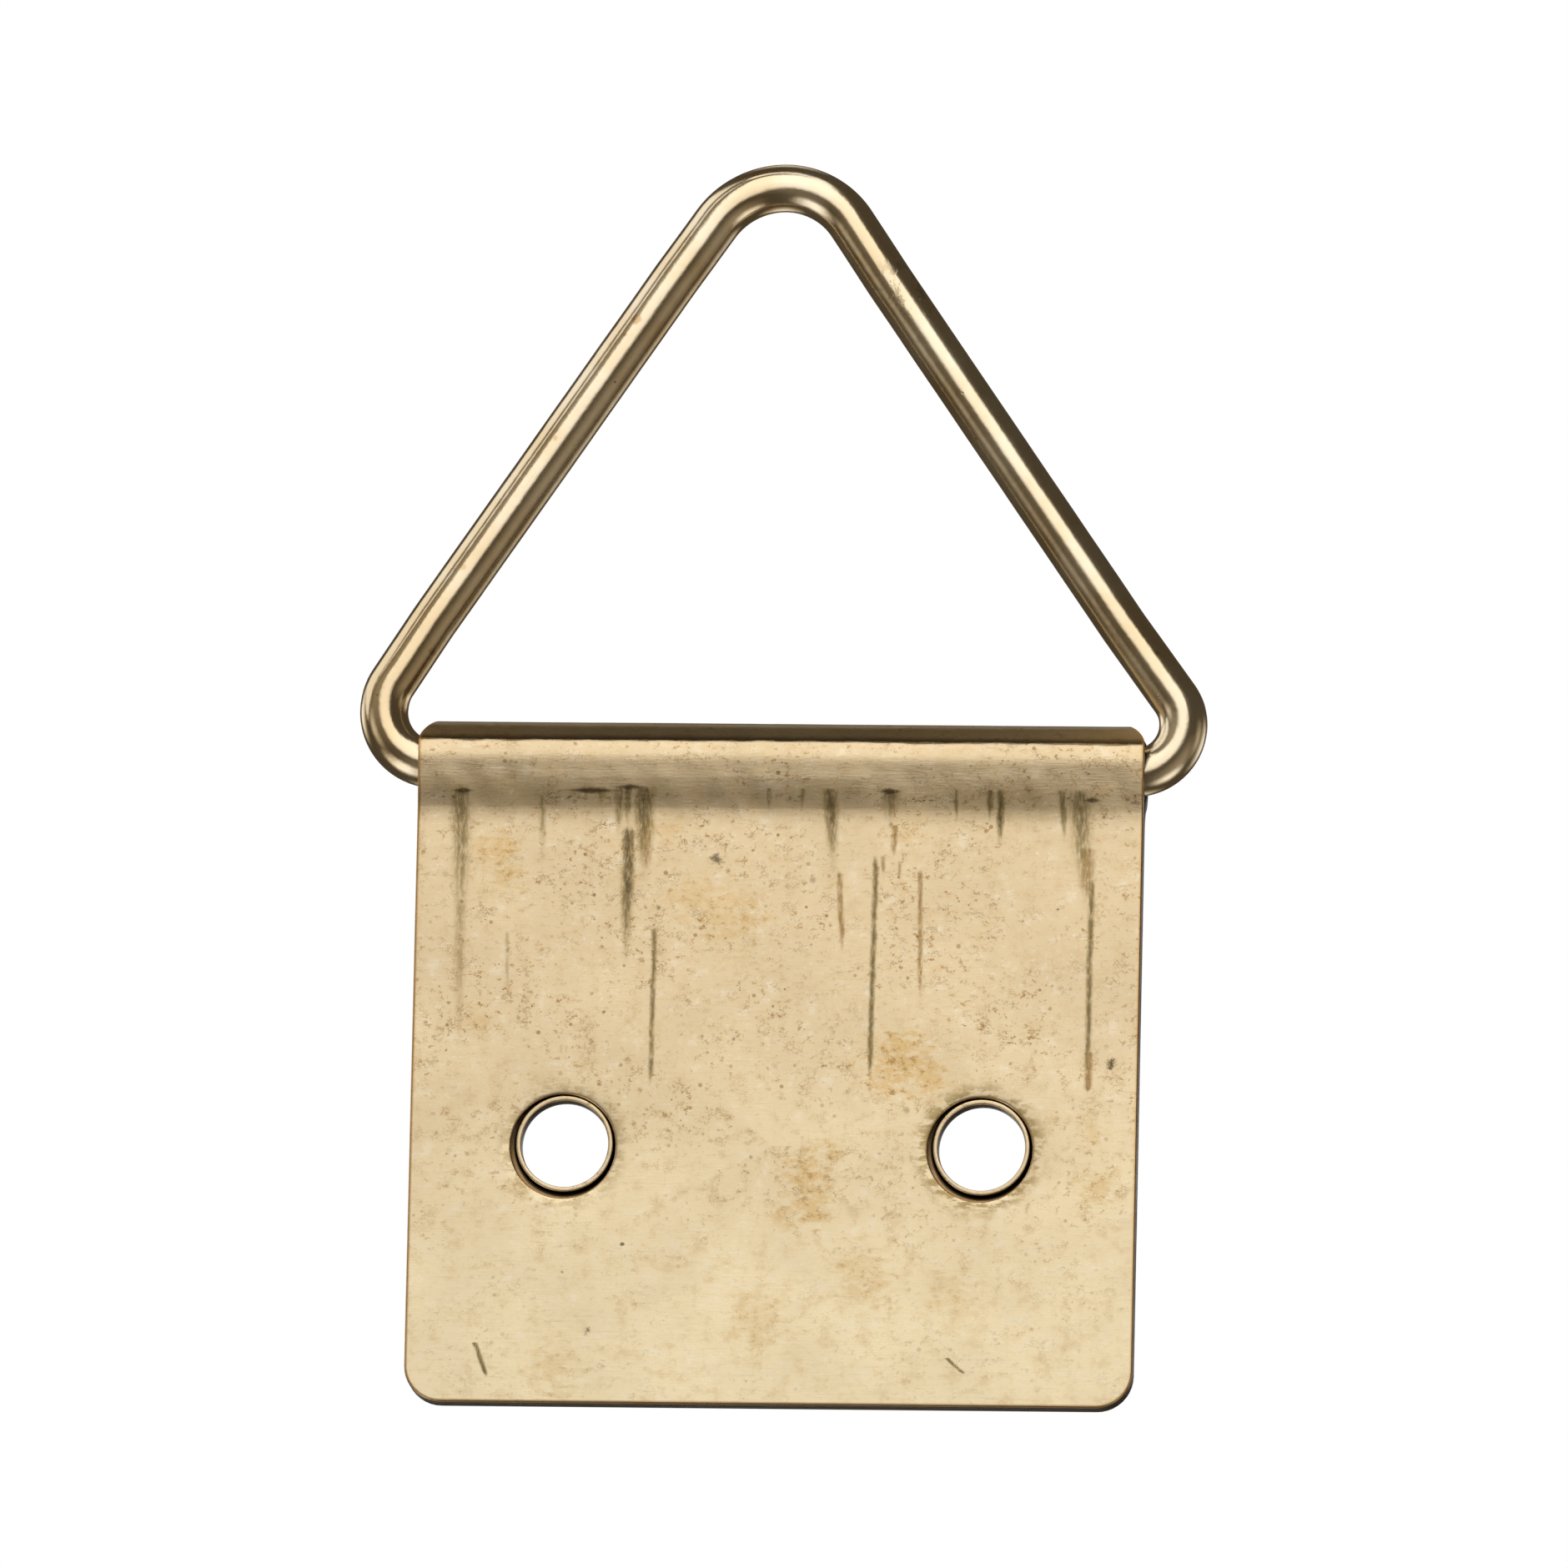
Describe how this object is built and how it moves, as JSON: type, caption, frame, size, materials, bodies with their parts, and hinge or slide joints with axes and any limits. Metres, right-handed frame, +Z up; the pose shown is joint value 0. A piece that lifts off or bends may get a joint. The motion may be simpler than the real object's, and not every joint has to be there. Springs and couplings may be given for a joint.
{
  "type": "picture eyelet",
  "caption": "Picture hanging eyelet: a bent wire triangle swings in the rolled top edge of a folded brass strap with screw holes side by side",
  "frame": {"origin": "midway between the two screw holes, on the back face of the strap that lies against the picture frame", "axes": "X along the pivot of the triangle, Z up from the screw holes to the triangle's tip, front of the strap towards -Y and back face towards +Y"},
  "size_m": [0.0351, 0.0036, 0.0522],
  "materials": {
    "strap_brass": "rolled sheet, scuffed satin with tarnish",
    "wire_brass": "drawn wire, plated, semi-bright with wear"
  },
  "bodies": {
    "strap": {"folded_strap": "strap_brass"},
    "triangle": {"wire_triangle": "wire_brass"}
  },
  "joints": [
    {"name": "triangle_swing", "type": "hinge", "parent": "strap", "child": "triangle", "pos_m": [0, 0.00009, 0.01603], "axis": [1, 0, 0], "range_deg": [-166, 143]}
  ]
}
